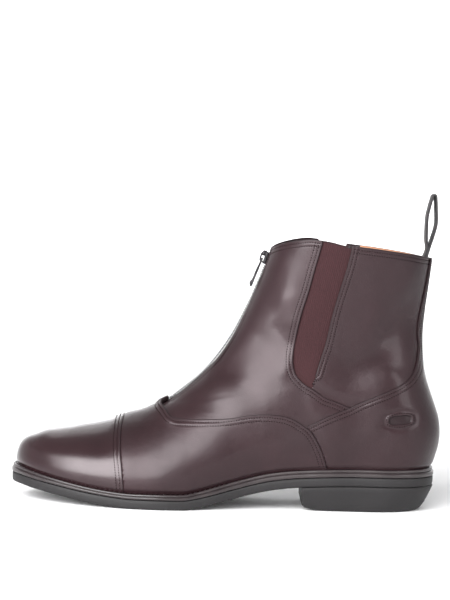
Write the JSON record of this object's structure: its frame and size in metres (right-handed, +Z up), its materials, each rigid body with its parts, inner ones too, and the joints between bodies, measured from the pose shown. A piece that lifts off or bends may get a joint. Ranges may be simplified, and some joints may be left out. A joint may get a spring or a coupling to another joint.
{
  "type": "jodhpur boot",
  "caption": "Left ankle-high jodhpur boot in dark brown leather, with a front zip, elastic side gores, a stitched toe cap, a welted sole, a stacked heel and a webbing pull loop.",
  "frame": {"origin": "centre of the heel's flat tread, on the floor under the wearer's heel", "axes": "+Z up; -X towards the toe, so +X runs along the foot towards the heel; -Y towards the outer (lateral) side of this left boot"},
  "size_m": [0.2899, 0.1035, 0.2121],
  "materials": {
    "leather": "smooth, polished",
    "elastic": "matt ribbed elastic",
    "welt": "satin",
    "sole_rubber": "matt",
    "lining": "matt",
    "zip_tape": "woven",
    "zip_metal": "gunmetal, semi-gloss",
    "webbing": "woven webbing"
  },
  "bodies": {
    "boot": {"upper": "leather", "toe_cap": "leather", "vamp": "leather", "counter": "leather", "gore_lateral": "elastic", "gore_medial": "elastic", "welt": "welt", "outsole": "sole_rubber", "heel": "sole_rubber", "insole": "lining", "zip_chain": "zip_tape", "zip_slider": "zip_metal", "pull_loop": "webbing"},
    "zip_pull": {"zip_pull": "zip_metal"}
  },
  "joints": [
    {"name": "zip_pull_hinge", "type": "hinge", "parent": "boot", "child": "zip_pull", "pos_m": [-0.07154, 0, 0.16587], "axis": [0, 1, 0], "range_deg": [0, 150]}
  ]
}
